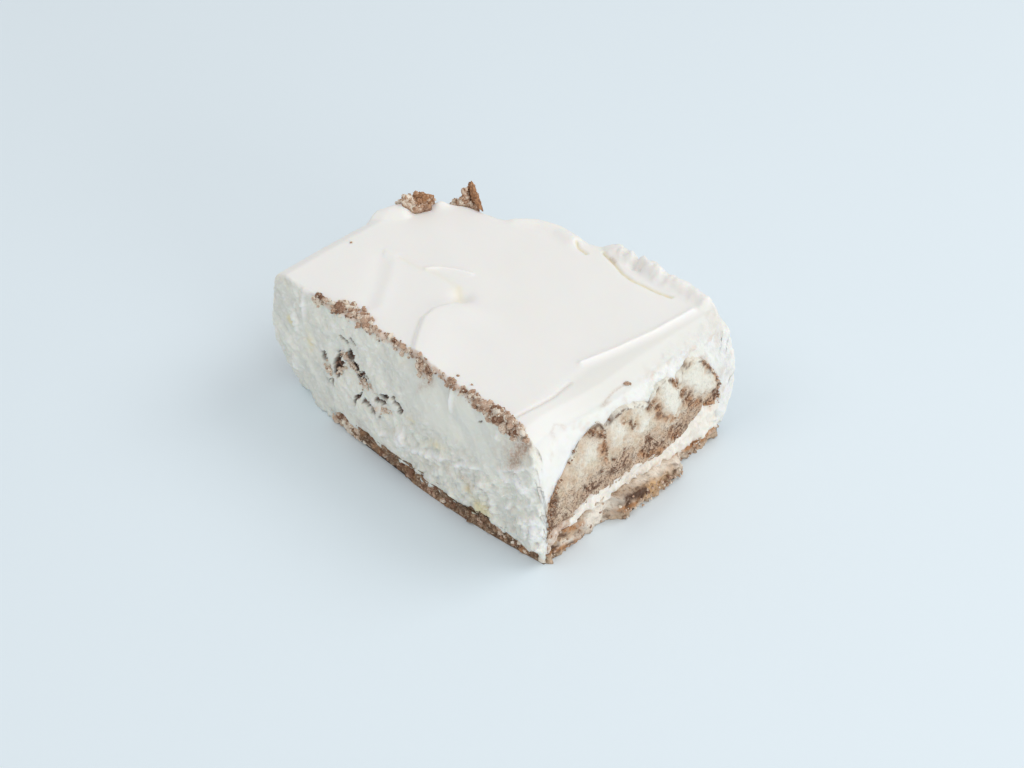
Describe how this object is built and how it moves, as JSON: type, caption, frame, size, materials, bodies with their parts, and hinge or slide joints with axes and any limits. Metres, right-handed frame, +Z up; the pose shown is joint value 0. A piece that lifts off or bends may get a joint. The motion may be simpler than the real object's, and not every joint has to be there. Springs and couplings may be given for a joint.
{
  "type": "tiramisu slice",
  "caption": "Cut piece of layered tiramisu: soaked sponge base, thin cream band, sponge fingers and a thick cream coat with crumbs along one edge.",
  "frame": {"origin": "middle of the bounding box, on the plane that the slice rests on", "axes": "+X along the slice to its cut end, -Y to the long side that the knife smeared, +Z up"},
  "size_m": [0.1092, 0.0778, 0.049],
  "materials": {
    "cream": "soft satin",
    "filling": "soft satin",
    "base_sponge": "rough, soaked crumb",
    "finger_sponge": "rough crumb",
    "torn_sponge": "rough crumb"
  },
  "bodies": {
    "root": {"cream_coat": "cream", "cream_filling": "filling", "sponge_base": "base_sponge", "sponge_finger_1": "finger_sponge", "sponge_finger_2": "finger_sponge", "sponge_finger_3": "finger_sponge", "sponge_finger_4": "finger_sponge", "sponge_lump_1": "torn_sponge", "sponge_lump_2": "torn_sponge"}
  },
  "joints": []
}
